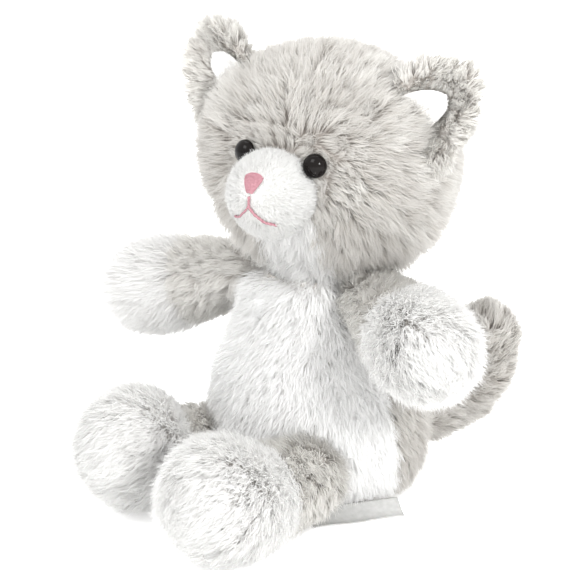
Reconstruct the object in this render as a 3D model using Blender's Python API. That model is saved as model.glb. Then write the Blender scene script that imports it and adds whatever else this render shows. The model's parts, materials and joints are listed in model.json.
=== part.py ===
"""A seated plush cat, 19 cm tall: sewn fur panels over fibre stuffing.

Frame: metres, +Z up, the cat faces -Y and its left side is +X. The origin is the
centre of the flat underside of the seat. Every fur panel is a thin shell whose
outside is the middle of the pile, and the stuffing inside it is a solid.
"""

import math

import bmesh
import bpy
from mathutils import Matrix, Vector

# Driving dimensions, in metres.
SKIN = 0.0015  # backing cloth with its flattened pile
SEAM = 0.0003  # gap between neighbours
PADDING_GAP = 0.0013  # between a skin and the stuffing in it
JOINT_GAP = 0.0009  # around the neck and the muzzle
LIMB_GAP = 0.0016  # around the ball at the root of a limb

# Torso sections from the seat up: height, half width, half depth, centre in Y.
TORSO_SECTIONS = (
    (0.000, 0.0280, 0.0270, 0.0000),
    (0.002, 0.0320, 0.0310, -0.0005),
    (0.007, 0.0360, 0.0350, -0.0010),
    (0.025, 0.0415, 0.0410, -0.0030),
    (0.050, 0.0385, 0.0380, -0.0030),
    (0.072, 0.0310, 0.0300, -0.0010),
    (0.086, 0.0250, 0.0245, 0.0000),
    (0.093, 0.0205, 0.0200, 0.0000),
)
SEAT_RIM = 0.007
TORSO_TOP = 0.093
BELLY_HALF_ANGLE = math.radians(98)  # at the seat
BIB_HALF_ANGLE = math.radians(78)  # at the neck
STUFFING_BASE = 0.008
POUCH_CENTRE = Vector((0, 0, 0.0112))
POUCH_RADII = Vector((0.024, 0.022, 0.0086))

# Head, as an ellipsoid that is flatter in front, in a frame centred on it.
NECK_PIVOT = Vector((0.0015, 0.001, 0.0975))
NECK_BALL = 0.0155
HEAD_CENTRE = Vector((0, 0, 0.0370))  # from the neck pivot
HEAD_WIDTH, HEAD_FRONT, HEAD_BACK, HEAD_HEIGHT = 0.0475, 0.035, 0.042, 0.0415
CROWN_HALF_ANGLE = math.radians(16.5)
HEAD_TURN, HEAD_TILT = math.radians(14), math.radians(5)
MUZZLE_CENTRE = Vector((0, -0.038, -0.0068))
MUZZLE_RADII = Vector((0.017, 0.0165, 0.0165))
MUZZLE_REACH = math.radians(106)

# Safety eyes.
EYE_X, EYE_Z = 0.0150, 0.0055
EYE_RADIUS, EYE_DOME = 0.005, 0.0036
SHANK_RADIUS, SHANK_LENGTH = 0.0015, 0.0075
WASHER_RADIUS, WASHER_THICKNESS, WASHER_DEPTH = 0.0040, 0.001, 0.0030

# Ears, in the plane of the head's width and height.
EAR_BASE_ANGLE = math.radians(61)
EAR_LEAN = math.radians(38)
EAR_HEIGHT, EAR_HALF_WIDTH, EAR_CUP = 0.026, 0.0140, 0.009
EAR_THICKNESS, LINING_THICKNESS, LINING_SHARE = 0.0024, 0.0009, 0.5
LINING_SHIFT = 0.30  # of the half width, from the ear's middle towards the crown

# Arms: pivot, then stations of distance and radius from it.
SHOULDER = Vector((0.0330, -0.004, 0.083))
ARM_FORWARD = {"left": math.radians(23), "right": math.radians(15)}
ARM_DROP = {"left": math.radians(6), "right": math.radians(14)}
ARM_STATIONS = ((0.000, 0.0118), (0.009, 0.0119), (0.020, 0.0142), (0.029, 0.0158))
PAW_STATIONS = ((0.029, 0.0158), (0.041, 0.0175), (0.052, 0.0174))
PAW_END = 0.0165

# Legs: the spine runs forward and turns up at the foot.
HIP = Vector((0.0280, -0.0385, 0.0200))
LEG_SPLAY = {"left": math.radians(2), "right": math.radians(7)}
# The right leg is pushed back into its hip a little and its foot is turned further up.
LEG_STRETCH = {"left": 1.13, "right": 0.86}
FOOT_BEND = {"left": 0.8, "right": 1.35}
THIGH_STATIONS = ((0.000, 0.000, 0.0150), (0.008, 0.000, 0.0150), (0.015, 0.000, 0.0162))
FOOT_STATIONS = (
    (0.015, 0.0000, 0.0162),
    (0.024, 0.0005, 0.0192),
    (0.033, 0.0026, 0.0218),
    (0.040, 0.0066, 0.0220),
)
FOOT_END = 0.0175

# Tail: spine points from its pivot with their radii.
TAIL_ROOT = Vector((0.004, 0.0425, 0.0180))
TAIL_STATIONS = (
    ((0.000, 0.000, 0.000), 0.0095),
    ((0.005, 0.012, 0.001), 0.0105),
    ((0.012, 0.021, 0.008), 0.0118),
    ((0.018, 0.025, 0.019), 0.0124),
    ((0.021, 0.026, 0.032), 0.0118),
)
TAIL_END = 0.0115

# Angles of the rings on the ball at a limb's root, and on its round end.
ROOT_ANGLES = (0, 0.35, 0.75, 1.15)
END_ANGLES = (0.45, 0.9, 1.26, math.pi / 2)

SIDES = {"left": 1, "right": -1}
LABEL_LENGTH, LABEL_THICKNESS = 0.036, 0.0006
LABEL_ANGLE = math.radians(62)  # from the front towards the left
HEAD_SIDES, TORSO_SIDES, LIMB_SIDES, SMALL_SIDES = 20, 22, 12, 10
THREAD = 0.00045

MATERIALS = {
    "grey_fur": ((0.62, 0.60, 0.575), 0.95, 0.0),
    "white_fur": ((0.90, 0.90, 0.89), 0.95, 0.0),
    "muzzle_plush": ((0.93, 0.93, 0.92), 0.9, 0.0),
    "ear_satin": ((0.92, 0.91, 0.90), 0.45, 0.0),
    "eye_plastic": ((0.006, 0.006, 0.007), 0.08, 0.0),
    "washer_plastic": ((0.75, 0.75, 0.73), 0.4, 0.0),
    "embroidery_thread": ((0.78, 0.42, 0.48), 0.55, 0.0),
    "stuffing_fibre": ((0.93, 0.93, 0.92), 1.0, 0.0),
    "pellet_cloth": ((0.85, 0.84, 0.80), 0.85, 0.0),
    "label_satin": ((0.90, 0.90, 0.89), 0.4, 0.0),
}


def clear_scene():
    for old in list(bpy.data.objects):
        bpy.data.objects.remove(old, do_unlink=True)


def make_materials():
    for name, (colour, roughness, metallic) in MATERIALS.items():
        material = bpy.data.materials.new(name)
        material.use_nodes = True
        shader = material.node_tree.nodes["Principled BSDF"]
        shader.inputs["Base Color"].default_value = (*colour, 1)
        shader.inputs["Roughness"].default_value = roughness
        shader.inputs["Metallic"].default_value = metallic


def pivot(name, location, parent=None, turn=(0, 0, 0)):
    """An empty on a joint's axis, which carries the pieces that move about it."""
    empty = bpy.data.objects.new(name, None)
    bpy.context.collection.objects.link(empty)
    empty.empty_display_size = 0.01
    empty.parent = parent
    empty.location = location
    empty.rotation_euler = turn
    return empty


def place(name, mesh, slot, parent, location=(0, 0, 0)):
    mesh.shade_smooth()
    mesh.set_sharp_from_angle(angle=math.radians(50))
    mesh.materials.append(bpy.data.materials[slot])
    piece = bpy.data.objects.new(name, mesh)
    bpy.context.collection.objects.link(piece)
    piece.parent = parent
    piece.location = location
    return piece


def helper(name, mesh, parent):
    cutter = bpy.data.objects.new(name, mesh)
    bpy.context.collection.objects.link(cutter)
    cutter.parent = parent
    cutter.hide_render = True
    cutter.display_type = "WIRE"
    return cutter


def rows_mesh(name, rows, inside, wrap=True):
    """A mesh through rows of points; a row of one point is a pole. Faces look away from inside."""
    shape = bmesh.new()
    made = [[shape.verts.new(point) for point in row] for row in rows]
    for low, high in zip(made, made[1:]):
        count = max(len(low), len(high))
        for i in range(count if wrap else count - 1):
            j = (i + 1) % count
            corners = [low[i % len(low)], low[j % len(low)], high[j % len(high)], high[i % len(high)]]
            shape.faces.new(list(dict.fromkeys(corners)))
    bmesh.ops.recalc_face_normals(shape, faces=shape.faces)
    shape.normal_update()
    outward = sum((f.calc_center_median() - inside).dot(f.normal) * f.calc_area() for f in shape.faces)
    if outward < 0:
        bmesh.ops.reverse_faces(shape, faces=shape.faces)
    mesh = bpy.data.meshes.new(name)
    shape.to_mesh(mesh)
    shape.free()
    return mesh


def thicken(piece, thickness=SKIN):
    shell = piece.modifiers.new("Skin", "SOLIDIFY")
    shell.thickness = thickness
    shell.offset = -1
    shell.use_even_offset = True


def cut(piece, cutter):
    hole = piece.modifiers.new("Cut " + cutter.name, "BOOLEAN")
    hole.operation = "DIFFERENCE"
    hole.object = cutter


def steps(first, last, count):
    return [first + (last - first) * i / (count - 1) for i in range(count)]


def ellipsoid_rows(centre, radii, rings, sides):
    """Rows from the lower pole to the upper one."""
    rows = []
    for angle in steps(-math.pi / 2, math.pi / 2, rings):
        flat = math.cos(angle)
        ring = []
        for i in range(1 if flat < 1e-6 else sides):
            turn = 2 * math.pi * i / sides
            unit = Vector((flat * math.cos(turn), flat * math.sin(turn), math.sin(angle)))
            ring.append(centre + unit * radii)
        rows.append(ring)
    return rows


def ball_cutter(name, centre, radius, parent=None):
    rows = ellipsoid_rows(centre, Vector((radius, radius, radius)), 11, 20)
    return helper(name, rows_mesh(name, rows, centre), parent)


def turned(name, profile, sides):
    """A solid turned about Z from (radius, height) points, the first and last on the axis."""
    rows = []
    for radius, height in profile:
        count = sides if radius > 0 else 1
        turns = [2 * math.pi * i / count for i in range(count)]
        rows.append([Vector((radius * math.cos(t), radius * math.sin(t), height)) for t in turns])
    middle = sum(height for _, height in profile) / len(profile)
    return rows_mesh(name, rows, Vector((0, 0, middle)))


# Torso


def torso_section(height):
    """Half width, half depth and centre at a height, eased between the named sections."""
    for low, high in zip(TORSO_SECTIONS, TORSO_SECTIONS[1:]):
        if height <= high[0]:
            break
    i = TORSO_SECTIONS.index(low)
    before = TORSO_SECTIONS[max(i - 1, 0)]
    after = TORSO_SECTIONS[min(i + 2, len(TORSO_SECTIONS) - 1)]
    t = (height - low[0]) / (high[0] - low[0])
    found = []
    for k in (1, 2, 3):
        rise = high[0] - low[0]
        start = rise * (high[k] - before[k]) / (high[0] - before[0])
        end = rise * (after[k] - low[k]) / (after[0] - low[0])
        found.append(
            (2 * t**3 - 3 * t**2 + 1) * low[k]
            + (t**3 - 2 * t**2 + t) * start
            + (3 * t**2 - 2 * t**3) * high[k]
            + (t**3 - t**2) * end
        )
    return found


def torso_point(angle, height, inset=0.0):
    width, depth, middle = torso_section(height)
    return Vector(((width - inset) * math.sin(angle), middle - (depth - inset) * math.cos(angle), height))


def belly_seam(height):
    """Half the angle that the belly panel covers at a height."""
    share = (height - SEAT_RIM) / (TORSO_TOP - SEAT_RIM)
    return BELLY_HALF_ANGLE + (BIB_HALF_ANGLE - BELLY_HALF_ANGLE) * share


def torso_panel(name, slot, edges, count, parent):
    """A panel of the torso between two edges, each an angle from the front for a height."""
    margin = SEAM / 2 + SKIN * math.sin(math.pi / TORSO_SIDES)
    rows = []
    for height in steps(SEAT_RIM + SEAM, TORSO_TOP, 9):
        edge = margin / torso_section(height)[1]
        first, last = (side(height) for side in edges)
        rows.append([torso_point(angle, height) for angle in steps(first + edge, last - edge, count)])
    piece = place(name, rows_mesh(name, rows, Vector((0, 0, 0.05)), wrap=False), slot, parent)
    thicken(piece)
    return piece


def seat_panel(parent):
    turns = [2 * math.pi * i / TORSO_SIDES for i in range(TORSO_SIDES)]
    rows = [[Vector((0, 0, 0))], [torso_point(t, 0, 0.014) for t in turns]]
    for height in (0.0, 0.002, 0.0045, SEAT_RIM - SEAM):
        rows.append([torso_point(t, height) for t in turns])
    seat = place("seat_panel", rows_mesh("seat_panel", rows, Vector((0, 0, 0.02))), "grey_fur", parent)
    thicken(seat)


def body_stuffing(parent):
    inset = SKIN + PADDING_GAP
    turns = [2 * math.pi * i / TORSO_SIDES for i in range(TORSO_SIDES)]
    top = TORSO_TOP - 0.004
    rows = [[Vector((0, 0, STUFFING_BASE))]]
    for height in steps(STUFFING_BASE, top, 9):
        rows.append([torso_point(t, height, inset) for t in turns])
    rows.append([Vector((0, 0, top))])
    mesh = rows_mesh("body_stuffing", rows, Vector((0, 0, 0.05)))
    return place("body_stuffing", mesh, "stuffing_fibre", parent)


def pellet_pouch(parent):
    rows = ellipsoid_rows(POUCH_CENTRE, POUCH_RADII, 8, 16)
    place("pellet_pouch", rows_mesh("pellet_pouch", rows, POUCH_CENTRE), "pellet_cloth", parent)
    room = POUCH_RADII + Vector((PADDING_GAP, PADDING_GAP, PADDING_GAP))
    rows = ellipsoid_rows(POUCH_CENTRE, room, 9, 20)
    return helper("pouch_room", rows_mesh("pouch_room", rows, POUCH_CENTRE), parent)


def care_label(parent):
    """A folded ribbon sewn in the left of the seat seam, which bends down to the floor."""
    outward = Vector((math.sin(LABEL_ANGLE), -math.cos(LABEL_ANGLE), 0))
    along = Vector((-outward.y, outward.x, 0))
    rows = []
    for out, height in ((0.0375, 0.0052), (0.0393, 0.0040), (0.0412, 0.0025), (0.0436, 0.0013), (0.0468, 0.0009)):
        middle = outward * out + Vector((0, 0, height))
        rows.append([middle + along * aside for aside in steps(-LABEL_LENGTH / 2, LABEL_LENGTH / 2, 6)])
    mesh = rows_mesh("care_label", rows, Vector((0.04, 0, -0.05)), wrap=False)
    label = place("care_label", mesh, "label_satin", parent)
    thicken(label, LABEL_THICKNESS)


def thread_curve(name, points, slot, parent):
    curve = bpy.data.curves.new(name, "CURVE")
    curve.dimensions = "3D"
    curve.bevel_depth = THREAD
    curve.bevel_resolution = 1
    curve.use_fill_caps = True
    line = curve.splines.new("POLY")
    line.points.add(len(points) - 1)
    for spot, point in zip(line.points, points):
        spot.co = (*point, 1)
    curve.materials.append(bpy.data.materials[slot])
    piece = bpy.data.objects.new(name, curve)
    bpy.context.collection.objects.link(piece)
    piece.parent = parent
    return piece


def closing_stitches(parent):
    points = [torso_point(math.pi, height, -2.2 * THREAD) for height in steps(0.036, 0.064, 7)]
    thread_curve("closing_stitches", points, "stuffing_fibre", parent)


def build_torso(root):
    seams = (lambda height: -math.pi, lambda height: -belly_seam(height), belly_seam, lambda height: math.pi)
    belly = torso_panel("belly_panel", "white_fur", seams[1:3], 13, root)
    left = torso_panel("back_panel_left", "grey_fur", seams[2:4], 6, root)
    right = torso_panel("back_panel_right", "grey_fur", seams[0:2], 6, root)
    seat_panel(root)
    stuffing = body_stuffing(root)
    cut(stuffing, pellet_pouch(root))
    care_label(root)
    closing_stitches(root)
    rooms = {
        "left_arm_room": (SHOULDER, ARM_STATIONS[0][1], (left, belly)),
        "right_arm_room": (mirrored(SHOULDER), ARM_STATIONS[0][1], (right, belly)),
        "left_leg_room": (HIP, THIGH_STATIONS[0][2], (belly, left)),
        "right_leg_room": (mirrored(HIP), THIGH_STATIONS[0][2], (belly, right)),
        "tail_room": (TAIL_ROOT, TAIL_STATIONS[0][1], (left, right)),
    }
    for name, (centre, radius, panels) in rooms.items():
        room = ball_cutter(name, centre, radius + LIMB_GAP, root)
        for piece in (*panels, stuffing):
            cut(piece, room)
    cut(stuffing, ball_cutter("neck_room", NECK_PIVOT, NECK_BALL + JOINT_GAP, root))


def mirrored(point):
    return Vector((-point.x, point.y, point.z))


# Head, in a frame centred on the head


def head_point(around, aside, inset=0.0):
    """A point on the head: around from the face over the crown, aside towards the left ear."""
    flat = math.cos(aside)
    depth = HEAD_FRONT if math.cos(around) > 0 else HEAD_BACK
    return Vector(
        (
            (HEAD_WIDTH - inset) * math.sin(aside),
            -(depth - inset) * flat * math.cos(around),
            (HEAD_HEIGHT - inset) * flat * math.sin(around),
        )
    )


def head_surface(x, z, lift=0.0):
    """The point of the face at x and z, and the direction out of it there."""
    depth = HEAD_FRONT * math.sqrt(1 - (x / HEAD_WIDTH) ** 2 - (z / HEAD_HEIGHT) ** 2)
    out = Vector((x / HEAD_WIDTH**2, -depth / HEAD_FRONT**2, z / HEAD_HEIGHT**2)).normalized()
    return Vector((x, -depth, z)) + out * lift, out


def head_cap(name, side, parent):
    edge = CROWN_HALF_ANGLE + SEAM / HEAD_WIDTH
    rows = []
    for aside in steps(edge, math.pi / 2, 7)[:-1]:
        turns = [2 * math.pi * (i + 0.5) / HEAD_SIDES for i in range(HEAD_SIDES)]
        rows.append([head_point(turn, side * aside) for turn in turns])
    rows.append([head_point(0, side * math.pi / 2)])
    piece = place(name, rows_mesh(name, rows, Vector()), "grey_fur", parent)
    thicken(piece)
    return piece


def head_band(name, slot, first, last, count, parent):
    edge = CROWN_HALF_ANGLE - SEAM / HEAD_WIDTH
    asides = steps(-edge, edge, 5)
    rows = [[head_point(turn, aside) for aside in asides] for turn in steps(first, last, count)]
    piece = place(name, rows_mesh(name, rows, Vector(), wrap=False), slot, parent)
    thicken(piece)
    return piece


def muzzle_rows(inset, reach, rings, sides):
    """Rows from the tip of the muzzle back to the given angle."""
    radii = MUZZLE_RADII - Vector((inset, inset, inset))
    rows = [[MUZZLE_CENTRE + Vector((0, -radii.y, 0))]]
    for angle in steps(0, reach, rings)[1:]:
        ring = []
        for i in range(sides):
            turn = 2 * math.pi * i / sides
            flat = math.sin(angle)
            unit = Vector((flat * math.cos(turn), -math.cos(angle), flat * math.sin(turn)))
            ring.append(MUZZLE_CENTRE + unit * radii)
        rows.append(ring)
    if reach > math.pi - 0.01:
        rows[-1] = [MUZZLE_CENTRE + Vector((0, radii.y, 0))]
    return rows


def muzzle_surface(x, rise, lift):
    """A point over the front of the muzzle, at x and a rise above its centre."""
    radii = MUZZLE_RADII
    depth = radii.y * math.sqrt(1 - (x / radii.x) ** 2 - (rise / radii.z) ** 2)
    out = Vector((x / radii.x**2, -depth / radii.y**2, rise / radii.z**2)).normalized()
    return MUZZLE_CENTRE + Vector((x, -depth, rise)) + out * lift


def build_muzzle(parent):
    inside = MUZZLE_CENTRE
    mesh = rows_mesh("muzzle", muzzle_rows(0, MUZZLE_REACH, 8, 20), inside)
    muzzle = place("muzzle", mesh, "muzzle_plush", parent)
    thicken(muzzle)
    mesh = rows_mesh("muzzle_stuffing", muzzle_rows(SKIN + PADDING_GAP, math.pi, 8, 14), inside)
    place("muzzle_stuffing", mesh, "stuffing_fibre", parent)
    mesh = rows_mesh("muzzle_room", muzzle_rows(-JOINT_GAP, math.pi, 10, 22), inside)
    return muzzle, helper("muzzle_room", mesh, parent)


def nose_embroidery(parent):
    """A pad of satin stitches: a rounded triangle, wide at the top."""
    rows = []
    for rise, half in ((0.0098, 0.0022), (0.0092, 0.0036), (0.0070, 0.0041), (0.0046, 0.0031), (0.0022, 0.0014)):
        rows.append([muzzle_surface(x, rise, 0.0011) for x in steps(-half, half, 7)])
    mesh = rows_mesh("nose_embroidery", rows, MUZZLE_CENTRE, wrap=False)
    thicken(place("nose_embroidery", mesh, "embroidery_thread", parent), 0.0007)


def mouth_stitches(parent):
    lift = THREAD + SEAM
    stem = [muzzle_surface(0, rise, lift) for rise in (0.0014, 0.0004, -0.0006)]
    thread_curve("mouth_stem_stitch", stem, "embroidery_thread", parent)
    for name, side in (("mouth_stitch_left", 1), ("mouth_stitch_right", -1)):
        points = []
        for t in steps(0.12, 1, 7):
            x = side * 0.0074 * t
            points.append(muzzle_surface(x, -0.0012 - 0.0078 * t ** 0.8 + 0.0016 * t**4, lift))
        thread_curve(name, points, "embroidery_thread", parent)


def eye_frame(side):
    """The place and turn of an eye whose own axis is Z, out of the face."""
    spot, out = head_surface(side * EYE_X, EYE_Z)
    return Matrix.Translation(spot) @ out.to_track_quat("Z", "Y").to_matrix().to_4x4()


def build_eye(side_name, side, parent):
    frame = eye_frame(side)
    profile = [(0, -SHANK_LENGTH), (SHANK_RADIUS, -SHANK_LENGTH + 0.0006), (SHANK_RADIUS, SEAM)]
    profile += [(EYE_RADIUS * 0.94, SEAM), (EYE_RADIUS, SEAM + 0.0006)]
    for angle in (25, 50, 72):
        turn = math.radians(angle)
        profile.append((EYE_RADIUS * math.cos(turn), SEAM + 0.0006 + EYE_DOME * math.sin(turn)))
    profile.append((0, SEAM + 0.0006 + EYE_DOME))
    eye = place("eye_" + side_name, turned("eye", profile, 20), "eye_plastic", parent)
    eye.matrix_local = frame
    hole = SHANK_RADIUS + 0.0005
    top, bottom = -WASHER_DEPTH, -WASHER_DEPTH - WASHER_THICKNESS
    ring = [(hole, top), (WASHER_RADIUS, top), (WASHER_RADIUS, bottom), (hole, bottom), (hole, top)]
    washer = place("eye_washer_" + side_name, ring_mesh("washer", ring[:-1], 16), "washer_plastic", parent)
    washer.matrix_local = frame
    reach = 0.004
    pin = helper("pin_room_" + side_name, cylinder_mesh("pin_room", hole, -reach, reach), parent)
    pin.matrix_local = frame
    depth = SHANK_LENGTH + PADDING_GAP
    room_mesh = cylinder_mesh("washer_room", WASHER_RADIUS + PADDING_GAP, -depth, reach)
    room = helper("washer_room_" + side_name, room_mesh, parent)
    room.matrix_local = frame
    seat_mesh = cylinder_mesh("eye_seat", EYE_RADIUS + SEAM, -0.0005, 0.008)
    seat = helper("eye_seat_" + side_name, seat_mesh, parent)
    seat.matrix_local = frame
    return pin, room, seat


def ring_mesh(name, section, sides):
    """A closed ring turned about Z from a closed section of (radius, height) points."""
    shape = bmesh.new()
    made = []
    for i in range(sides):
        t = 2 * math.pi * i / sides
        made.append([shape.verts.new((r * math.cos(t), r * math.sin(t), z)) for r, z in section])
    for i in range(sides):
        one, two = made[i], made[(i + 1) % sides]
        for j in range(len(section)):
            k = (j + 1) % len(section)
            shape.faces.new((one[j], one[k], two[k], two[j]))
    bmesh.ops.recalc_face_normals(shape, faces=shape.faces)
    mesh = bpy.data.meshes.new(name)
    shape.to_mesh(mesh)
    shape.free()
    return mesh


def cylinder_mesh(name, radius, low, high):
    return turned(name, [(0, low), (radius, low), (radius, high), (0, high)], 16)


def ear_rows(side, width_share, height_share, forward, shift=0.0):
    """A cupped leaf that stands on the side of the head, open to the front."""
    up = Vector((side * math.sin(EAR_LEAN), 0, math.cos(EAR_LEAN)))
    across = Vector((side * math.cos(EAR_LEAN), 0, -math.sin(EAR_LEAN)))
    base = Vector((side * HEAD_WIDTH * math.sin(EAR_BASE_ANGLE), 0, HEAD_HEIGHT * math.cos(EAR_BASE_ANGLE)))
    rows = []
    for v in steps(0, 1, 7):
        share = max(1 - v**2.4, 0.0) ** 0.55 * 0.92 + 0.08
        row = []
        for u in steps(-1, 1, 7):
            aside = (u * width_share * share - shift * (1 - v)) * EAR_HALF_WIDTH
            cup = EAR_CUP * (aside / EAR_HALF_WIDTH) ** 2
            foot = base + across * aside
            rise = clear_of_head(foot, up)
            height = rise + (EAR_HEIGHT * height_share - rise) * v
            row.append(foot + up * height + Vector((0, -cup - forward, 0)))
        rows.append(row)
    return rows


def clear_of_head(foot, up, clearance=0.0012):
    """How far along up a point leaves the head's outline in its widest plane."""
    rise = -0.02
    while rise < 0.02:
        point = foot + up * rise
        if (point.x / (HEAD_WIDTH + clearance)) ** 2 + (point.z / (HEAD_HEIGHT + clearance)) ** 2 > 1:
            break
        rise += 0.0001
    return rise


def build_ear(side_name, side, parent):
    behind = Vector((0, -0.05, 0.04))
    rows = ear_rows(side, 1.0, 1.0, 0.0)
    mesh = rows_mesh("ear_back", rows, behind, wrap=False)
    thicken(place("ear_back_" + side_name, mesh, "grey_fur", parent), -EAR_THICKNESS)
    rows = ear_rows(side, LINING_SHARE, LINING_SHARE + 0.10, EAR_THICKNESS + SEAM + 0.0006, LINING_SHIFT)
    mesh = rows_mesh("ear_lining", rows, behind, wrap=False)
    thicken(place("ear_lining_" + side_name, mesh, "ear_satin", parent), -LINING_THICKNESS)


def head_stuffing(parent):
    inset = SKIN + PADDING_GAP
    rows = [[head_point(0, -math.pi / 2, inset)]]
    turns = [2 * math.pi * (i + 0.5) / HEAD_SIDES for i in range(HEAD_SIDES)]
    for aside in steps(-math.pi / 2, math.pi / 2, 12)[1:-1]:
        rows.append([head_point(turn, aside, inset) for turn in turns])
    rows.append([head_point(0, math.pi / 2, inset)])
    return place("head_stuffing", rows_mesh("head_stuffing", rows, Vector()), "stuffing_fibre", parent)


def build_head(neck):
    nod = pivot("head_pivot", (0, 0, 0), neck, (0, HEAD_TILT, HEAD_TURN))
    head = pivot("head_frame", HEAD_CENTRE, nod)
    caps = {side: head_cap("head_side_" + side, sign, head) for side, sign in SIDES.items()}
    crown = head_band("head_crown", "grey_fur", math.radians(2), math.radians(250), 15, head)
    chin = head_band("chin_panel", "white_fur", math.radians(-78), math.radians(-22), 6, head)
    stuffing = head_stuffing(head)
    muzzle, muzzle_room = build_muzzle(head)
    neck_room = ball_cutter("head_neck_room", -HEAD_CENTRE, NECK_BALL + JOINT_GAP, head)
    for piece in (*caps.values(), crown, chin, stuffing):
        cut(piece, muzzle_room)
        cut(piece, neck_room)
    nose_embroidery(head)
    mouth_stitches(head)
    for side, sign in SIDES.items():
        pin, room, seat = build_eye(side, sign, head)
        cut(muzzle, seat)
        cut(caps[side], pin)
        cut(crown, pin)
        cut(stuffing, room)
        build_ear(side, sign, head)


def build_neck(neck):
    """The firm plug of fibre in the neck, a ball on a short stem."""
    low = TORSO_TOP - 0.0034 - NECK_PIVOT.z
    stem = 0.0122
    profile = [(0, low), (stem, low)]
    start = -math.acos(stem / NECK_BALL)
    for angle in steps(start, math.pi / 2, 8)[:-1]:
        profile.append((NECK_BALL * math.cos(angle), NECK_BALL * math.sin(angle)))
    profile.append((0, NECK_BALL))
    place("neck_stuffing", turned("neck_stuffing", profile, 20), "stuffing_fibre", neck)


# Limbs


def limb_rings(stations, end, inset):
    """Rings (centre, radius, direction) along a spine, from the pole of the ball at its root
    to the pole of its round end."""
    points = [Vector(point) for point, _ in stations]
    heads = []
    for i in range(len(points)):
        ahead = points[min(i + 1, len(points) - 1)] - points[max(i - 1, 0)]
        heads.append(ahead.normalized())
    ball = stations[0][1] - inset
    rings = []
    for angle in ROOT_ANGLES:
        rings.append((points[0] - heads[0] * ball * math.cos(angle), ball * math.sin(angle), heads[0]))
    for point, head, (_, radius) in zip(points, heads, stations):
        rings.append((point, radius - inset, head))
    tip = stations[-1][1] - inset
    for angle in END_ANGLES:
        ahead = heads[-1] * (end - inset) * math.sin(angle)
        rings.append((points[-1] + ahead, tip * math.cos(angle), heads[-1]))
    return rings


def ring_points(ring, sides, across):
    centre, radius, head = ring
    if radius < 1e-6:
        return [centre]
    side = (across - head * across.dot(head)).normalized()
    up = head.cross(side)
    turns = [2 * math.pi * i / sides for i in range(sides)]
    return [centre + (side * math.cos(t) + up * math.sin(t)) * radius for t in turns]


def build_limb(names, slots, inner, outer, end, parent, across):
    """A stuffed limb in two cups that meet at a seam, with its stuffing inside."""
    stations = [*inner, *outer[1:]]
    rings = limb_rings(stations, end, 0)
    seam = len(ROOT_ANGLES) + len(inner) - 1
    centre, radius, head = rings[seam]
    cups = (rings[: seam + 1], [(centre + head * SEAM * 1.5, radius, head), *rings[seam + 1 :]])
    for name, slot, cup in zip(names, slots, cups):
        rows = [ring_points(ring, LIMB_SIDES, across) for ring in cup]
        thicken(place(name, rows_mesh(name, rows, centre), slot, parent))
    rows = [ring_points(ring, SMALL_SIDES, across) for ring in limb_rings(stations, end, SKIN + PADDING_GAP)]
    place(names[2], rows_mesh(names[2], rows, centre), "stuffing_fibre", parent)


def build_arm(side, sign, root):
    shoulder = SHOULDER if sign > 0 else mirrored(SHOULDER)
    heading = -ARM_FORWARD[side] if sign > 0 else math.pi + ARM_FORWARD[side]
    arm = pivot("shoulder_" + side, shoulder, root, (0, ARM_DROP[side], heading))
    inner = [((s, 0, 0), radius) for s, radius in ARM_STATIONS]
    outer = [((s, 0, 0), radius) for s, radius in PAW_STATIONS]
    names = ("arm_sleeve_" + side, "paw_" + side, "arm_stuffing_" + side)
    build_limb(names, ("grey_fur", "white_fur"), inner, outer, PAW_END, arm, Vector((0, 1, 0)))


def build_leg(side, sign, root):
    hip = HIP if sign > 0 else mirrored(HIP)
    heading = -math.pi / 2 + sign * LEG_SPLAY[side]
    leg = pivot("hip_" + side, hip, root, (0, 0, heading))
    stretch = LEG_STRETCH[side]
    inner = [((s * stretch, 0, rise), radius) for s, rise, radius in THIGH_STATIONS]
    bend = FOOT_BEND[side]
    outer = [((s * stretch, 0, rise * bend), radius) for s, rise, radius in FOOT_STATIONS]
    names = ("thigh_" + side, "foot_" + side, "leg_stuffing_" + side)
    build_limb(names, ("grey_fur", "white_fur"), inner, outer, FOOT_END, leg, Vector((0, 1, 0)))


def build_tail(root):
    tail = pivot("tail_pivot", TAIL_ROOT, root)
    across = Vector((1, -0.4, 0)).normalized()
    middle = Vector(TAIL_STATIONS[2][0])
    skin_rings = limb_rings(TAIL_STATIONS, TAIL_END, 0)[1:]
    rows = [ring_points(ring, SMALL_SIDES, across) for ring in skin_rings]
    thicken(place("tail_skin", rows_mesh("tail_skin", rows, middle), "grey_fur", tail))
    rings = limb_rings(TAIL_STATIONS, TAIL_END, SKIN + PADDING_GAP)
    rows = [ring_points(ring, SMALL_SIDES, across) for ring in rings]
    place("tail_stuffing", rows_mesh("tail_stuffing", rows, middle), "stuffing_fibre", tail)


def main():
    clear_scene()
    make_materials()
    root = pivot("torso_frame", (0, 0, 0))
    build_torso(root)
    neck = pivot("neck_pivot", NECK_PIVOT, root)
    build_neck(neck)
    build_head(neck)
    for side, sign in SIDES.items():
        build_arm(side, sign, root)
        build_leg(side, sign, root)
    build_tail(root)


main()
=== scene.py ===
"""Looks of a seated plush cat: long frosted pile on stuffed skins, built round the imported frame.

Metres, +Z up. The cat faces -Y and its own left is +X. Every skin is remeshed from the CAD
solids it stands for. The pile is real geometry: tapered strands rooted in the skin, combed
along a field, and drawn together into small tufts inside larger ones.
"""

import json
import math

import bmesh
import bpy
import numpy as np
from mathutils import Matrix, Vector
from mathutils.bvhtree import BVHTree
from mathutils.kdtree import KDTree


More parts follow.
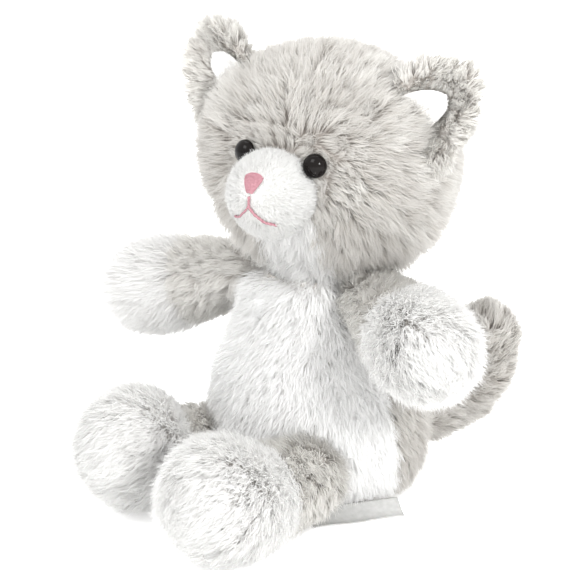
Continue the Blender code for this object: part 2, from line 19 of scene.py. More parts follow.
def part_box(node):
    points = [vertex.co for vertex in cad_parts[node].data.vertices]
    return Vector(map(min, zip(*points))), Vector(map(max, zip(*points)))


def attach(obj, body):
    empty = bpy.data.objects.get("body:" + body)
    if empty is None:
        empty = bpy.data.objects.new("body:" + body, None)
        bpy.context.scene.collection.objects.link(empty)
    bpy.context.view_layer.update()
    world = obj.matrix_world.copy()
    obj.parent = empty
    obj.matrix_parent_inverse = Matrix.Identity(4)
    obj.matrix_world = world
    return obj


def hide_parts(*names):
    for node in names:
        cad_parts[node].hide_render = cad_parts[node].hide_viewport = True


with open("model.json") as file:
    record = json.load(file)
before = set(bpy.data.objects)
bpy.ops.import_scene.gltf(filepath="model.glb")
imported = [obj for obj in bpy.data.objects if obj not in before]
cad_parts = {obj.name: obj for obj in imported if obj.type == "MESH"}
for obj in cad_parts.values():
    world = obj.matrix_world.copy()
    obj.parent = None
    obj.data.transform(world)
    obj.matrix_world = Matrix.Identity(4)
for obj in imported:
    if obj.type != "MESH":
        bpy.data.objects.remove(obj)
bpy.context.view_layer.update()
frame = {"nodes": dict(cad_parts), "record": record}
NODES = frame["nodes"]
MM = 0.001
SQUARE_MM = 1e6  # in a square metre
SIDES = ("left", "right")

# Camera: the direction that it looks from, its roll, its distance, and how wide it sees there.
CAMERA_AZIMUTH, CAMERA_ELEVATION, CAMERA_ROLL = 47.0, 16.0, 2.0  # degrees
CAMERA_DISTANCE, VIEW_WIDTH = 0.9, 0.228
SEAT_ASIDE, SEAT_DROP = 0.016, 0.0788  # the seat's centre, from the middle of the view

VOXEL = 2.4 * MM
SKIN_INSET = 2.4 * MM  # the skin under the pile, from the outside of the CAD panels
LEVELS = np.array([0.0, 0.55, 1.0])  # places along a strand
FLOOR_CLEARANCE = 0.4 * MM
DOWN = np.array([0.0, 0.0, -1.0])

# Pile: strands to a square millimetre of skin.
BODY_DENSITY, LIMB_DENSITY, EAR_DENSITY, MUZZLE_DENSITY = 6.0, 6.5, 7.0, 9.0
COLOUR_WANDER = 1.2 * MM  # how far the border between two colours of pile wanders
# How strongly the tips are drawn into large and small tufts.
PULLED, SOFT = (0.4, 0.6), (0.3, 0.38)
LOOSE_SHARE, LOOSE_LENGTH, LOOSE_HOLD = 0.08, 1.2, 0.25  # strands that leave their tuft
# How far tufts and strands vary, as shares of what they vary about.
LIFT_SPREAD, WIDTH_SPREAD = (0.75, 1.25), (0.75, 1.25)
TUFT_REACH, STRAND_REACH = (0.85, 1.1), (0.75, 1.08)
STRAND_WANDER, STRAND_ROLL, SHADING_WANDER = 0.2, 0.6, 0.12
TONE_LIMITS = (0.02, 0.98)


# Materials

FUR_ROUGHNESS = 0.8
FUR_STOPS = (0.0, 0.45, 1.0)  # where along a strand its three colours stand
CLOTH_RELIEF = 0.3 * MM


def shader_of(material):
    return material.node_tree.nodes["Principled BSDF"]


def new_material(name, roughness, **constants):
    material = bpy.data.materials.new(name)
    material.use_nodes = True
    shader = shader_of(material)
    shader.inputs["Roughness"].default_value = roughness
    for socket, value in constants.items():
        shader.inputs[socket.replace("_", " ")].default_value = value
    return material


def ramp(tree, source, stops):
    """A colour ramp over a value, from (position, colour) stops."""
    node = tree.nodes.new("ShaderNodeValToRGB")
    elements = node.color_ramp.elements
    while len(elements) < len(stops):
        elements.new(0.5)
    for element, (position, colour) in zip(elements, stops):
        element.position = position
        element.color = (*colour, 1)
    tree.links.new(source, node.inputs["Fac"])
    return node.outputs["Color"]


def mix_colours(tree, share, first, second):
    node = tree.nodes.new("ShaderNodeMix")
    node.data_type = "RGBA"
    tree.links.new(share, node.inputs["Factor"])
    tree.links.new(first, node.inputs["A"])
    tree.links.new(second, node.inputs["B"])
    return node.outputs["Result"]


def fur_material(name, dark, light, through):
    """Colour along the strand, from root to tip, between a dark and a light tuft. A share of
    the light comes through the strands."""
    material = new_material(name, FUR_ROUGHNESS)
    tree = material.node_tree
    layout = tree.nodes.new("ShaderNodeUVMap")
    layout.uv_map = "OFBake"
    split = tree.nodes.new("ShaderNodeSeparateXYZ")
    tree.links.new(layout.outputs["UV"], split.inputs["Vector"])
    low = ramp(tree, split.outputs["Y"], list(zip(FUR_STOPS, dark)))
    high = ramp(tree, split.outputs["Y"], list(zip(FUR_STOPS, light)))
    colour = mix_colours(tree, split.outputs["X"], low, high)
    shader = shader_of(material)
    tree.links.new(colour, shader.inputs["Base Color"])
    glow = tree.nodes.new("ShaderNodeBsdfTranslucent")
    tree.links.new(colour, glow.inputs["Color"])
    blend = tree.nodes.new("ShaderNodeMixShader")
    blend.inputs["Fac"].default_value = through
    tree.links.new(shader.outputs["BSDF"], blend.inputs[1])
    tree.links.new(glow.outputs["BSDF"], blend.inputs[2])
    tree.links.new(blend.outputs["Shader"], tree.nodes["Material Output"].inputs["Surface"])
    return material


def cloth_material(name, dark, light, scale, roughness=0.8, bump=0.2, weave=None, **constants):
    """Mottled colour with a fine bump: felted or smooth, or woven where weave gives its pitch."""
    material = new_material(name, roughness, **constants)
    tree = material.node_tree
    place = tree.nodes.new("ShaderNodeTexCoord").outputs["Object"]
    noise = tree.nodes.new("ShaderNodeTexNoise")
    noise.inputs["Scale"].default_value = scale
    noise.inputs["Detail"].default_value = 5
    tree.links.new(place, noise.inputs["Vector"])
    colour = ramp(tree, noise.outputs["Fac"], [(0.3, dark), (0.7, light)])
    tree.links.new(colour, shader_of(material).inputs["Base Color"])
    height = noise.outputs["Fac"]
    if weave:
        threads = tree.nodes.new("ShaderNodeTexWave")
        threads.inputs["Scale"].default_value = 0.5 / weave
        threads.inputs["Distortion"].default_value = 1.5
        tree.links.new(place, threads.inputs["Vector"])
        height = threads.outputs["Fac"]
    relief = tree.nodes.new("ShaderNodeBump")
    relief.inputs["Strength"].default_value = bump
    relief.inputs["Distance"].default_value = CLOTH_RELIEF
    tree.links.new(height, relief.inputs["Height"])
    tree.links.new(relief.outputs["Normal"], shader_of(material).inputs["Normal"])
    return material


# Root, middle and tip colours of the darkest and the lightest tufts.
GREY_DARK = ((0.38, 0.33, 0.295), (0.57, 0.54, 0.50), (0.72, 0.705, 0.68))
GREY_LIGHT = ((0.62, 0.59, 0.56), (0.78, 0.765, 0.735), (0.90, 0.895, 0.87))
WHITE_DARK = ((0.88, 0.87, 0.855), (0.89, 0.885, 0.875), (0.90, 0.90, 0.89))
WHITE_LIGHT = ((0.96, 0.955, 0.945), (0.97, 0.97, 0.965), (0.98, 0.98, 0.975))
# The muzzle's white pile is given a greyer copy of the white colours: painted shade that keeps the
# muzzle from glaring under the key lamp in front.
MUZZLE_SHADED_DARK = ((0.79, 0.785, 0.77), (0.81, 0.81, 0.80), (0.83, 0.83, 0.82))
MUZZLE_SHADED_LIGHT = ((0.82, 0.815, 0.805), (0.84, 0.84, 0.83), (0.86, 0.86, 0.85))
# Dark and light tufts, and how much of the light comes through the strands.
PILES = {
    "grey_pile": (GREY_DARK, GREY_LIGHT, 0.5),
    "white_pile": (WHITE_DARK, WHITE_LIGHT, 0.55),
    "muzzle_pile": (MUZZLE_SHADED_DARK, MUZZLE_SHADED_LIGHT, 0.55),
}
# The dark and light tones, and the finish, of everything that isn't pile.
CLOTHS = {
    "grey_backing": ((0.46, 0.425, 0.39), (0.56, 0.53, 0.50), dict(scale=900)),
    "white_backing": ((0.93, 0.925, 0.91), (0.96, 0.955, 0.945), dict(scale=900)),
    # The muzzle's velvet is greyer than the white backing: painted shade, for the same light from
    # the front.
    "muzzle_velvet": (
        (0.66, 0.655, 0.64), (0.72, 0.72, 0.71), dict(scale=1400, roughness=0.9, bump=0.3)
    ),
    "satin": (
        (0.78, 0.775, 0.765), (0.86, 0.855, 0.85),
        dict(scale=500, roughness=0.38, bump=0.25, weave=0.35 * MM, Sheen_Weight=0.4),
    ),
    "label_ribbon": (
        (0.40, 0.40, 0.39), (0.48, 0.48, 0.47),
        dict(scale=500, roughness=0.4, bump=0.25, weave=0.35 * MM),
    ),
    "pink_thread": (
        (0.27, 0.115, 0.14), (0.39, 0.195, 0.22), dict(scale=1500, roughness=0.6, bump=0.5)
    ),
    "seam_thread": (
        (0.72, 0.71, 0.69), (0.86, 0.85, 0.83), dict(scale=1500, roughness=0.6, bump=0.5)
    ),
    "pouch_cloth": (
        (0.80, 0.78, 0.74), (0.88, 0.87, 0.84), dict(scale=700, bump=0.4, weave=0.5 * MM)
    ),
    "washer": (
        (0.72, 0.72, 0.70), (0.78, 0.78, 0.76), dict(scale=300, roughness=0.4, bump=0.05)
    ),
    "eye_gloss": (
        (0.003, 0.0025, 0.0025), (0.006, 0.0045, 0.004),
        dict(scale=120, roughness=0.1, bump=0.01, Specular_IOR_Level=0.14),
    ),
}
MATERIALS = {name: fur_material(name, *look) for name, look in PILES.items()}
for cloth_name, (cloth_dark, cloth_light, cloth_look) in CLOTHS.items():
    MATERIALS[cloth_name] = cloth_material(cloth_name, cloth_dark, cloth_light, **cloth_look)


# Meshes


def arrays(mesh):
    """Points, triangles and point normals of a mesh."""
    points = np.empty(len(mesh.vertices) * 3)
    normals = np.empty(len(mesh.vertices) * 3)
    mesh.calc_loop_triangles()
    faces = np.empty(len(mesh.loop_triangles) * 3, np.int32)
    mesh.vertices.foreach_get("co", points)
    mesh.vertex_normals.foreach_get("vector", normals)
    mesh.loop_triangles.foreach_get("vertices", faces)
    return points.reshape(-1, 3), faces.reshape(-1, 3), normals.reshape(-1, 3)


def centre_of(*names):
    points = np.concatenate([arrays(NODES[name].data)[0] for name in names])
    return (points.min(0) + points.max(0)) / 2


def unit(vectors):
    return vectors / np.maximum(np.linalg.norm(vectors, axis=-1, keepdims=True), 1e-9)


def tree_of(names):
    points, faces = [], []
    start = 0
    for name in names:
        own, triangles, _ = arrays(NODES[name].data)
        points.append(own)
        faces.append(triangles + start)
        start += len(own)
    return BVHTree.FromPolygons(np.concatenate(points).tolist(), np.concatenate(faces).tolist())


def link(piece):
    bpy.context.scene.collection.objects.link(piece)
    return piece


def settle(piece):
    """Applies the piece's modifiers to its mesh."""
    graph = bpy.context.evaluated_depsgraph_get()
    mesh = bpy.data.meshes.new_from_object(piece.evaluated_get(graph))
    piece.modifiers.clear()
    piece.data = mesh


def keep_largest(shape):
    """Drops all but the largest island of a bmesh."""
    left, islands = set(shape.verts), []
    while left:
        ends = [left.pop()]
        island = []
        while ends:
            vert = ends.pop()
            island.append(vert)
            for edge in vert.link_edges:
                other = edge.other_vert(vert)
                if other in left:
                    left.remove(other)
                    ends.append(other)
        islands.append(island)
    islands.sort(key=len)
    for island in islands[:-1]:
        bmesh.ops.delete(shape, geom=island, context="VERTS")


def make_skin(name, body, nodes, material, inset=SKIN_INSET, voxel=VOXEL, rounds=10,
              also=(), white=()):
    """One closed, smooth skin just inside the outline of the CAD nodes that it stands for. The
    nodes in also shape it too, and it is white nearest to the nodes in white."""
    shape = bmesh.new()
    for node in (*nodes, *also):
        shape.from_mesh(NODES[node].data)
    bmesh.ops.remove_doubles(shape, verts=shape.verts, dist=1e-6)
    mesh = bpy.data.meshes.new(name)
    shape.to_mesh(mesh)
    shape.free()
    piece = link(bpy.data.objects.new(name, mesh))
    remesh = piece.modifiers.new("Remesh", "REMESH")
    remesh.mode = "VOXEL"
    remesh.voxel_size = voxel
    smooth = piece.modifiers.new("Smooth", "SMOOTH")
    smooth.iterations = rounds
    settle(piece)
    shape = bmesh.new()
    shape.from_mesh(piece.data)
    keep_largest(shape)
    shape.normal_update()
    places = [vert.co - vert.normal * inset for vert in shape.verts]
    for vert, place in zip(shape.verts, places):
        vert.co = place
        vert.co.z = max(vert.co.z, 0.0)
    shape.to_mesh(piece.data)
    shape.free()
    piece.data.materials.clear()
    piece.data.materials.append(MATERIALS[material])
    if white:
        middles = np.array([face.center for face in piece.data.polygons])
        piece.data.materials.append(MATERIALS["white_backing"])
        near = nearest_of(middles, [[n for n in nodes if n not in white], list(white)])
        piece.data.polygons.foreach_set("material_index", near.astype(np.int32))
    piece.data.shade_smooth()
    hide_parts(*nodes)
    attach(piece, body)
    return piece


# Pile


def scatter(piece, density, rng):
    """Roots spread evenly over a skin, with the skin's normal at each."""
    points, faces, normals = arrays(piece.data)
    corners = points[faces]
    sides = corners[:, 1:] - corners[:, :1]
    areas = np.linalg.norm(np.cross(sides[:, 0], sides[:, 1]), axis=1) / 2
    count = int(areas.sum() * density * SQUARE_MM)
    chosen = rng.choice(len(faces), count, p=areas / areas.sum())
    u, v = rng.random(count), rng.random(count)
    over = u + v > 1
    u[over], v[over] = 1 - u[over], 1 - v[over]
    shares = np.stack([1 - u - v, u, v], 1)[:, :, None]
    return (corners[chosen] * shares).sum(1), unit((normals[faces[chosen]] * shares).sum(1))


def distance_to(points, names):
    """How far each point lies from the nearest of the CAD nodes."""
    tree = tree_of(names)
    return np.array([tree.find_nearest(point)[3] for point in points.tolist()])


def nearest_of(points, groups, rng=None):
    """For each point, which of the groups of CAD nodes lies nearest. With rng, the borders
    between them wander."""
    if rng is not None:
        points = points + rng.normal(0, COLOUR_WANDER, points.shape)
    return np.stack([distance_to(points, names) for names in groups], 1).argmin(1)


def bare(points, body, gap):
    """True where another body lies within the gap, so that no pile grows there."""
    bodies = frame["record"]["behaviour"]["bodies"]
    others = [node for other, nodes in bodies.items() if other != body for node in nodes]
    return distance_to(points, others) < gap


def strand_lines(roots, normals, comb, length, lift, droop):
    """Points along each strand: it leaves the skin at an angle and bends over along the comb."""
    s = LEVELS[None, :, None]
    rise = np.sin(lift)[:, None, None] * s - droop * s**2
    run = np.cos(lift)[:, None, None] * s + 0.5 * droop * s**2
    reach = length[:, None, None]
    return roots[:, None] + reach * (normals[:, None] * rise + comb[:, None] * run)


def nearest_index(points, centres):
    tree = KDTree(len(centres))
    for i, centre in enumerate(centres.tolist()):
        tree.insert(centre, i)
    tree.balance()
    return np.array([tree.find(point)[1] for point in points.tolist()])


def tangent(vectors, normals):
    return unit(vectors - (vectors * normals).sum(1, keepdims=True) * normals)


def grow(name, body, material, roots, normals, comb, length, rng, density, lift, droop=0.14,
         tufts=(7.0, 2.4), pull=PULLED, stray=(0.5, 0.3), width=0.27, frizz=0.08,
         tone=(0.5, 0.3)):
    """Pile as one mesh of tapered strands.

    lift is the angle off the skin in degrees. Tuft sizes and the strand's width are in
    millimetres. tone is the mean and spread of a tuft's place between dark and light. Large
    tufts are laid first, small ones lean into them, and the strands lean into the small ones.
    """
    count = len(roots)
    lift = np.radians(lift) * rng.uniform(*LIFT_SPREAD, count)
    comb = tangent(comb, normals)
    area = count / density  # square millimetres
    line, shade = None, None
    for spacing, hold, wander in zip(tufts, pull, stray):
        chosen = rng.choice(count, max(int(area / spacing**2), 1), replace=False)
        turn = tangent(comb[chosen] + rng.normal(0, wander, (len(chosen), 3)), normals[chosen])
        reach = length[chosen] * rng.uniform(*TUFT_REACH, len(chosen))
        own = strand_lines(roots[chosen], normals[chosen], turn, reach, lift[chosen], droop)
        own_shade = rng.normal(0, 1, len(chosen))
        if line is not None:
            index = nearest_index(roots[chosen], centres)
            share = last_hold * LEVELS[None, :, None] ** 1.2
            own = own * (1 - share) + line[index] * share
            own_shade = 0.45 * own_shade + 0.75 * shade[index]
        centres, line, shade, last_hold = roots[chosen], own, own_shade, hold
    index = nearest_index(roots, centres)
    turn = tangent(comb + rng.normal(0, STRAND_WANDER, (count, 3)), normals)
    loose = rng.random(count) < LOOSE_SHARE
    reach = length * rng.uniform(*STRAND_REACH, count) * np.where(loose, LOOSE_LENGTH, 1.0)
    own = strand_lines(roots, normals, turn, reach, lift, droop)
    hold = np.where(loose, LOOSE_HOLD, last_hold)
    share = hold[:, None, None] * LEVELS[None, :, None] ** 1.1
    own = own * (1 - share) + line[index] * share
    own += rng.normal(0, frizz, (count, 3, 3)) * reach[:, None, None] * LEVELS[None, :, None]
    own[:, :, 2] = np.maximum(own[:, :, 2], FLOOR_CLEARANCE)
    shade = tone[0] + tone[1] * (0.6 * shade[index] + 0.35 * rng.normal(0, 1, count))
    shade = np.clip(shade, *TONE_LIMITS)
    strands(name, body, material, own, normals, shade, width * MM, rng)


def strands(name, body, material, lines, normals, shade, width, rng):
    """Ribbons that taper to a point, with their colour's place in the layout OFBake."""
    count = len(lines)
    way = unit(np.gradient(lines, axis=1))
    side = unit(np.cross(way[:, 1], normals))
    roll = rng.normal(0, STRAND_ROLL, count)[:, None]
    up = unit(np.cross(side, way[:, 1]))
    side = side * np.cos(roll) + up * np.sin(roll)
    facing = (np.cross(side, way[:, 1]) * normals).sum(1)
    side[facing < 0] *= -1
    half = width / 2 * rng.uniform(*WIDTH_SPREAD, count)[:, None]
    points = np.empty((count, 5, 3), np.float32)
    for k, share in enumerate((0.8, 1.0)):
        points[:, 2 * k] = lines[:, k] - side * half * share
        points[:, 2 * k + 1] = lines[:, k] + side * half * share
    points[:, 4] = lines[:, 2]
    points[:, :, 2] = np.maximum(points[:, :, 2], FLOOR_CLEARANCE / 2)
    corners = np.array([0, 1, 3, 2, 2, 3, 4])  # a quad, then the tip's triangle
    along = np.array([0, 0, 1, 1, 2])  # each point's level
    mesh = bpy.data.meshes.new(name)
    mesh.vertices.add(count * 5)
    mesh.vertices.foreach_set("co", points.ravel())
    loops = (np.arange(count)[:, None] * 5 + corners).ravel()
    mesh.loops.add(len(loops))
    mesh.loops.foreach_set("vertex_index", loops.astype(np.int32))
    starts = (np.arange(count)[:, None] * 7 + np.array([0, 4])).ravel()
    mesh.polygons.add(len(starts))
    mesh.polygons.foreach_set("loop_start", starts.astype(np.int32))
    mesh.update(calc_edges=True)
    layout = mesh.uv_layers.new(name="OFBake")
    uv = np.empty((count, 7, 2), np.float32)
    uv[:, :, 0] = shade[:, None]
    uv[:, :, 1] = 0.01 + 0.98 * LEVELS[along[corners]][None]
    layout.data.foreach_set("uv", uv.ravel())
    mesh.shade_smooth()
    # Shaded mostly as the skin under it, so that the pile looks soft.
    own = normals[:, None] - (normals[:, None] * way).sum(2, keepdims=True) * way
    stray = rng.normal(0, SHADING_WANDER, (count, 1, 3))
    soft = unit(0.7 * normals[:, None] + 0.3 * unit(own) + stray)
    mesh.normals_split_custom_set_from_vertices(soft[:, along].reshape(-1, 3).tolist())
    mesh.materials.append(MATERIALS[material])
    piece = link(bpy.data.objects.new(name, mesh))
    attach(piece, body)


def smoothstep(low, high, value):
    t = np.clip((value - low) / (high - low), 0, 1)
    return t * t * (3 - 2 * t)


# Torso

BELLY_LENGTH, BACK_LENGTH = 9.5 * MM, 10.5 * MM
COLLAR_LOW, COLLAR_HIGH = 76 * MM, 90 * MM  # heights between which the pile grows into a collar
COLLAR_FLARE = 0.8
SEAT_HEIGHT, SEAT_FACING = 3.5 * MM, -0.85  # no pile grows below this, or where it faces down
HEM_HEIGHT = 16 * MM  # below this the pile shortens


def build_torso(rng):
    backs = ["back_panel_left", "back_panel_right"]
    skin = make_skin(
        "torso_skin", "torso", ["belly_panel", *backs, "seat_panel", "body_stuffing"],
        "grey_backing", white=["belly_panel"],
    )
    roots, normals = scatter(skin, BODY_DENSITY, rng)
    seated = (roots[:, 2] <= SEAT_HEIGHT) | (normals[:, 2] <= SEAT_FACING)
    keep = ~seated & ~bare(roots, "torso", gap=1.2 * MM)
    roots, normals = roots[keep], normals[keep]
    white = nearest_of(roots, [["belly_panel"], [*backs, "seat_panel"]], rng) == 0
    collar = smoothstep(COLLAR_LOW, COLLAR_HIGH, roots[:, 2])
    comb = DOWN + COLLAR_FLARE * collar[:, None] * normals
    share = 0.5 + 0.5 * smoothstep(0.0, HEM_HEIGHT, roots[:, 2]) + 0.5 * collar
    for name, mask, kind, slot, length, pull, tone in (
        ("belly_pile", white, "white_pile", "white_fur", BELLY_LENGTH, SOFT, (0.95, 0.1)),
        ("back_pile", ~white, "grey_pile", "grey_fur", BACK_LENGTH, PULLED, (0.25, 0.25)),
    ):
        grow(name, "torso", kind, roots[mask], normals[mask], comb[mask],
             length * share[mask], rng, BODY_DENSITY, lift=48, pull=pull, tone=tone)


# Head

MOUTH = ("mouth_stem_stitch", "mouth_stitch_left", "mouth_stitch_right")
MUZZLE_COVER = 2.2 * MM  # how far the head's pile runs in under the muzzle
EYE_CLEARANCE = 2.8 * MM  # from an eye's centre
CHIN_LENGTH = 15 * MM
BRIDGE_HEIGHT = 6 * MM  # above the muzzle's middle, where the face's pile parts
FACE_LENGTH, HEAD_GAIN, HEAD_BAND = 6.5 * MM, 8.5 * MM, (17 * MM, 38 * MM)
EYE_LENGTH, EYE_GAIN, EYE_BAND = 4.5 * MM, 9 * MM, (5 * MM, 18 * MM)


def head_frame():
    """The head's left, forward and up, its middle and its eyes, and the ball of its muzzle."""
    eyes = {side: centre_of("eye_" + side) for side in SIDES}
    aside = unit(eyes["left"] - eyes["right"])
    muzzle = centre_of("muzzle")
    middle = centre_of("head_stuffing")
    ahead = muzzle - middle
    ahead = unit(ahead - ahead.dot(aside) * aside)
    up = np.cross(ahead, aside)
    points = arrays(NODES["muzzle"].data)[0]
    radius = np.ptp((points - muzzle) @ aside) / 2
    # The CAD muzzle is cut off behind, so its middle is found from its tip.
    muzzle = muzzle + ahead * (((points - muzzle) @ ahead).max() - radius)
    return {
        "aside": aside, "ahead": ahead, "up": up, "eyes": eyes, "muzzle": muzzle,
        "muzzle_radius": radius, "middle": middle,
    }


def build_head(head, rng):
    panels = ["head_side_left", "head_side_right", "head_crown", "chin_panel"]
    skin = make_skin(
        "head_skin", "head", [*panels, "head_stuffing"], "grey_backing",
        also=["muzzle_stuffing"], white=["chin_panel"],
    )
    roots, normals = scatter(skin, BODY_DENSITY, rng)
    from_muzzle = np.linalg.norm(roots - head["muzzle"], axis=1)
    eyes = head["eyes"].values()
    from_eye = np.min([np.linalg.norm(roots - eye, axis=1) for eye in eyes], axis=0)
    on_face = from_muzzle > head["muzzle_radius"] - MUZZLE_COVER
    keep = ~bare(roots, "head", gap=1.0 * MM) & on_face & (from_eye > EYE_CLEARANCE)
    roots, normals = roots[keep], normals[keep]
    from_muzzle, from_eye = from_muzzle[keep], from_eye[keep]
    upward, onward = normals @ head["up"], normals @ head["ahead"]
    # Away from the bridge of the nose on the face, and down behind it.
    comb = tangent(roots - (head["muzzle"] + head["up"] * BRIDGE_HEIGHT), normals)
    comb[:, 2] -= 0.35 + 0.9 * smoothstep(0.0, 0.7, -upward)
    behind = smoothstep(0.0, 0.7, -onward)[:, None]
    comb = comb * (1 - behind) + DOWN * behind
    # Short beside the muzzle and the eyes, and on the crown.
    length = FACE_LENGTH + HEAD_GAIN * smoothstep(*HEAD_BAND, from_muzzle)
    length = np.minimum(length, EYE_LENGTH + EYE_GAIN * smoothstep(*EYE_BAND, from_eye))
    length *= 1 - 0.25 * smoothstep(0.55, 0.95, upward)
    # Under the chin and the cheeks the pile hides the neck.
    length *= 1 + 0.3 * smoothstep(0.1, 0.7, -upward)
    length = np.maximum(length, CHIN_LENGTH * smoothstep(0.25, 0.75, -upward))
    near = nearest_of(roots, [[panel] for panel in panels], rng)
    for i, name in enumerate(("head_pile_left", "head_pile_right", "crown_pile", "chin_pile")):
        mask = near == i
        colour = "white" if name == "chin_pile" else "grey"
        grow(name, "head", colour + "_pile", roots[mask], normals[mask],
             comb[mask], length[mask], rng, BODY_DENSITY, lift=52, tone=(0.45, 0.28))


def build_muzzle(head, rng):
    skin = make_skin(
        "muzzle_skin", "head", ["muzzle", "muzzle_stuffing"], "muzzle_velvet",
        inset=1.0 * MM, voxel=1.1 * MM, rounds=14,
    )
    roots, normals = scatter(skin, MUZZLE_DENSITY, rng)
    ahead = (roots - head["muzzle"]) @ head["ahead"]
    from_thread = distance_to(roots, ["nose_embroidery", *MOUTH])
    keep = (ahead > -9 * MM) & (from_thread > 1.2 * MM)
    roots, normals, from_thread = roots[keep], normals[keep], from_thread[keep]
    comb = roots - (head["muzzle"] + head["ahead"] * 14 * MM) + 4 * MM * DOWN
    length = np.clip(0.8 * from_thread, 0.9 * MM, 3.0 * MM)
    grow("muzzle_pile", "head", "muzzle_pile", roots, normals, comb, length, rng,
         MUZZLE_DENSITY, lift=58, droop=0.2, tufts=(2.5, 0.9), pull=(0.2, 0.35), width=0.2,
         frizz=0.16, tone=(0.6, 0.2))
    return skin


# Limbs and tail

SLEEVE_LENGTH, PAW_LENGTH = 9.0 * MM, 11.5 * MM
THIGH_LENGTH, FOOT_LENGTH = 9.5 * MM, 11.0 * MM
TAIL_LENGTH = 11 * MM


def build_limb(names, side, body, rng, lengths, lift):
    """An arm or a leg, from its grey inner node, its white outer node and its stuffing."""
    inner, outer, stuffing = (name + "_" + side for name in names)
    skin = make_skin(
        inner.split("_")[0] + "_skin_" + side, body, [inner, outer, stuffing],
        "grey_backing", white=[outer],
    )
    roots, normals = scatter(skin, LIMB_DENSITY, rng)
    keep = ~bare(roots, body, gap=1.5 * MM)
    roots, normals = roots[keep], normals[keep]
    white = nearest_of(roots, [[inner], [outer]], rng) == 1
    axis = unit(centre_of(outer) - centre_of(inner))
    around = unit(roots - centre_of(outer))
    comb = axis + 0.6 * around + 0.35 * DOWN + rng.normal(0, 0.15, roots.shape)
    # The grey pile of arms and legs takes the lightest tufts: painted light that lifts the shade
    # the head casts over the near arm.
    for name, mask, kind, slot, length, angle, pull, tone in (
        (names[0], ~white, "grey_pile", "grey_fur", lengths[0], lift, PULLED, (0.95, 0.2)),
        (names[1], white, "white_pile", "white_fur", lengths[1], lift - 8, SOFT, (0.3, 0.15)),
    ):
        grow(name + "_pile_" + side, body, kind, roots[mask], normals[mask], comb[mask],
             np.full(mask.sum(), length), rng, LIMB_DENSITY, lift=angle, droop=0.2, width=0.28,
             pull=pull, tone=tone)


def build_tail(rng):
    skin = make_skin(
        "tail_under_skin", "tail", ["tail_skin", "tail_stuffing"], "grey_backing"
    )
    roots, normals = scatter(skin, BODY_DENSITY, rng)
    keep = ~bare(roots, "tail", gap=1.5 * MM)
    roots, normals = roots[keep], normals[keep]
    rise = smoothstep(roots[:, 2].min(), roots[:, 2].max(), roots[:, 2])[:, None]
    comb = (1 - rise) * [0.4, 0.9, 0.1] + rise * [0.1, 0.1, 1.0]
    length = np.full(len(roots), TAIL_LENGTH)
    grow("tail_pile", "tail", "grey_pile", roots, normals, comb, length, rng,
         BODY_DENSITY, lift=54, tone=(0.5, 0.28))


# Face details

EYE_SHARE = 0.92  # of the CAD eye's radius, since no pile lies over its rim
EYE_FLANGE, STEM_RADIUS = 0.5 * MM, 1.5 * MM
EYE_SIDES = 48
NOSE_ROWS, NOSE_THREAD = 17, 0.30 * MM
MOUTH_THREAD, MOUTH_STEPS = 0.36 * MM, 26
MOUTH_PLY = 0.2 * MM  # from the middle of a mouth thread to each of its two plies


def build_eye(side):
    """A domed safety eye with a thin flange, on the axis of the CAD eye and its washer."""
    points = arrays(NODES["eye_" + side].data)[0]
    washer = centre_of("eye_washer_" + side)
    axis = unit(points.mean(0) - arrays(NODES["eye_washer_" + side].data)[0].mean(0))
    along = (points - washer) @ axis
    off = np.linalg.norm((points - washer) - along[:, None] * axis, axis=1)
    radius, top, back = EYE_SHARE * off.max(), along.max(), along.min()
    seat = along[off > 0.9 * radius].min()
    profile = [
        (0.0, back), (STEM_RADIUS - 0.3 * MM, back + 0.5 * MM), (STEM_RADIUS, back + 1.2 * MM),
        (STEM_RADIUS, seat), (radius * 0.96, seat), (radius, seat + 0.35 * MM),
    ]
    dome = top - seat - EYE_FLANGE
    for turn in np.radians(np.arange(4, 90, 6)):
        height = seat + EYE_FLANGE + dome * math.sin(turn)
        profile.append((radius * math.cos(turn), height))
    profile.append((0.0, top))
    shape = bmesh.new()
    rings = []
    for distance, height in profile:
        count = EYE_SIDES if distance else 1
        turns = [2 * math.pi * i / EYE_SIDES for i in range(count)]
        rings.append([
            shape.verts.new((distance * math.cos(t), distance * math.sin(t), height))
            for t in turns
        ])
    for low, high in zip(rings, rings[1:]):
        for i in range(EYE_SIDES):
            j = (i + 1) % EYE_SIDES
            corners = [low[i % len(low)], low[j % len(low)]]
            corners += [high[j % len(high)], high[i % len(high)]]
            shape.faces.new(list(dict.fromkeys(corners)))
    bmesh.ops.recalc_face_normals(shape, faces=shape.faces)
    mesh = bpy.data.meshes.new("bead_eye_" + side)
    shape.to_mesh(mesh)
    shape.free()
    turn = Vector(axis).to_track_quat("Z", "Y").to_matrix().to_4x4()
    mesh.transform(Matrix.Translation(Vector(washer)) @ turn)
    mesh.materials.append(MATERIALS["eye_gloss"])
    mesh.shade_smooth()
    piece = link(bpy.data.objects.new("bead_eye_" + side, mesh))
    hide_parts("eye_" + side)
    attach(piece, "head")


def thread_tubes(name, paths, radius, nodes):
    """Round pink threads along paths, as one curve turned to a mesh."""
    curve = bpy.data.curves.new(name, "CURVE")
    curve.dimensions = "3D"
    curve.bevel_depth = radius
    curve.bevel_resolution = 3
    curve.use_fill_caps = True
    for path in paths:
        line = curve.splines.new("POLY")
        line.points.add(len(path) - 1)
        line.points.foreach_set("co", np.hstack([path, np.ones((len(path), 1))]).ravel())
    piece = link(bpy.data.objects.new(name, curve))
    graph = bpy.context.evaluated_depsgraph_get()
    mesh = bpy.data.meshes.new_from_object(piece.evaluated_get(graph))
    bpy.data.objects.remove(piece)
    piece = link(bpy.data.objects.new(name, mesh))
    mesh.materials.clear()
    mesh.materials.append(MATERIALS["pink_thread"])
    mesh.shade_smooth()
    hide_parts(*nodes)
    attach(piece, "head")


